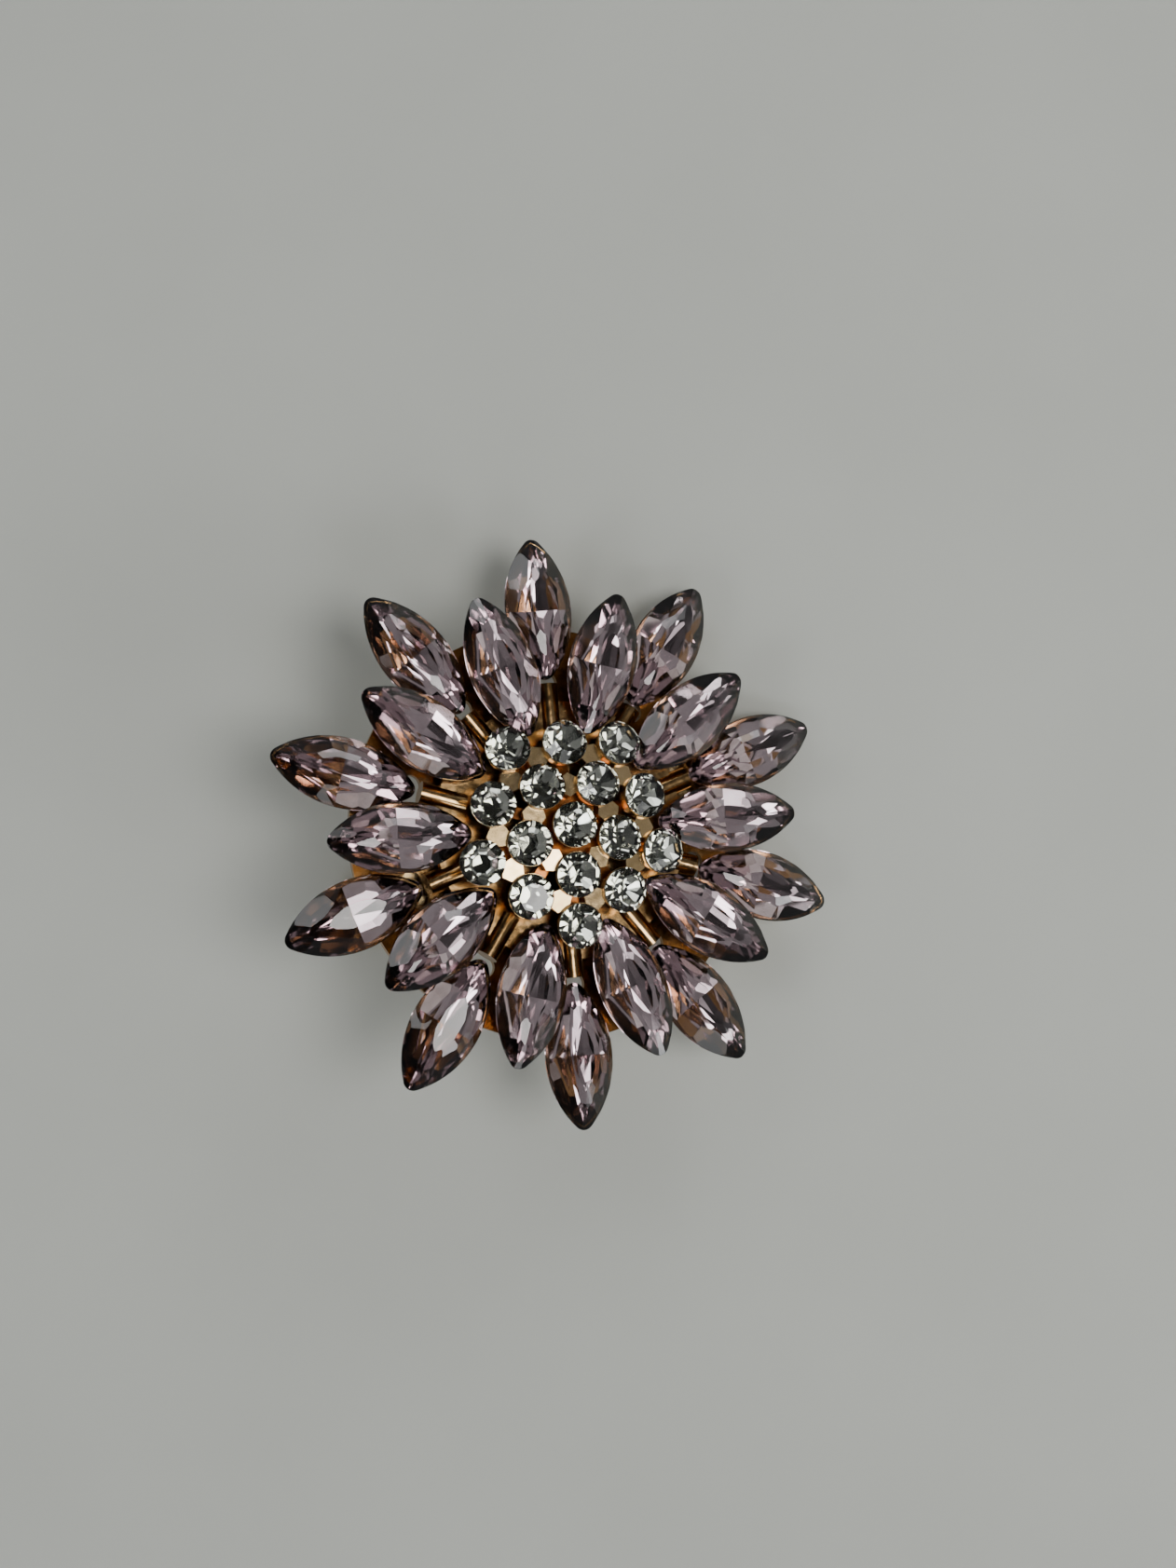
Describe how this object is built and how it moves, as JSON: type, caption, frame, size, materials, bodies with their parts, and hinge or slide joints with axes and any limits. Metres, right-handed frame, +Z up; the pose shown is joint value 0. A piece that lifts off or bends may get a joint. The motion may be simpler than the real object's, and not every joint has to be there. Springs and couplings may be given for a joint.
{
  "type": "hair clip",
  "caption": "Tiered flower hair clip with navette glass petals round a domed crystal cluster, on a sprung metal jaw clip.",
  "frame": {"origin": "middle of the outline in X and Y, on the table that the clip lies on", "axes": "+Z up from the table; +X along the clip from its handles to its jaw tips, the way the flower leans; Y along the hinge pin"},
  "size_m": [0.0577, 0.0584, 0.0243],
  "materials": {
    "gold_tone": "polished",
    "spring_steel": "bright",
    "pink_glass": "cut and polished, very pale pink",
    "clear_crystal": "cut and polished over silver foil"
  },
  "bodies": {
    "clip_base": {"bottom_jaw": "gold_tone", "pivot_pin": "spring_steel", "torsion_spring": "spring_steel"},
    "flower_jaw": {"outer_frame": "gold_tone", "inner_frame": "gold_tone", "crystal_setting": "gold_tone", "tier_spacer": "gold_tone", "center_rivet": "gold_tone", "back_plate": "gold_tone", "top_jaw": "gold_tone", "outer_stone_01": "pink_glass", "outer_stone_02": "pink_glass", "outer_stone_03": "pink_glass", "outer_stone_04": "pink_glass", "outer_stone_05": "pink_glass", "outer_stone_06": "pink_glass", "outer_stone_07": "pink_glass", "outer_stone_08": "pink_glass", "outer_stone_09": "pink_glass", "outer_stone_10": "pink_glass", "inner_stone_01": "pink_glass", "inner_stone_02": "pink_glass", "inner_stone_03": "pink_glass", "inner_stone_04": "pink_glass", "inner_stone_05": "pink_glass", "inner_stone_06": "pink_glass", "inner_stone_07": "pink_glass", "inner_stone_08": "pink_glass", "inner_stone_09": "pink_glass", "inner_stone_10": "pink_glass", "crystal_01": "clear_crystal", "crystal_02": "clear_crystal", "crystal_03": "clear_crystal", "crystal_04": "clear_crystal", "crystal_05": "clear_crystal", "crystal_06": "clear_crystal", "crystal_07": "clear_crystal", "crystal_08": "clear_crystal", "crystal_09": "clear_crystal", "crystal_10": "clear_crystal", "crystal_11": "clear_crystal", "crystal_12": "clear_crystal", "crystal_13": "clear_crystal", "crystal_14": "clear_crystal", "crystal_15": "clear_crystal", "crystal_16": "clear_crystal"}
  },
  "joints": [
    {"name": "jaw_hinge", "type": "hinge", "parent": "clip_base", "child": "flower_jaw", "pos_m": [-0.00627, 0, 0.00662], "axis": [0, -1, 0], "range_deg": [0, 28], "stiffness_Nm_per_rad": 0.02, "springref_deg": -57.3, "deforming": ["torsion_spring"]}
  ]
}
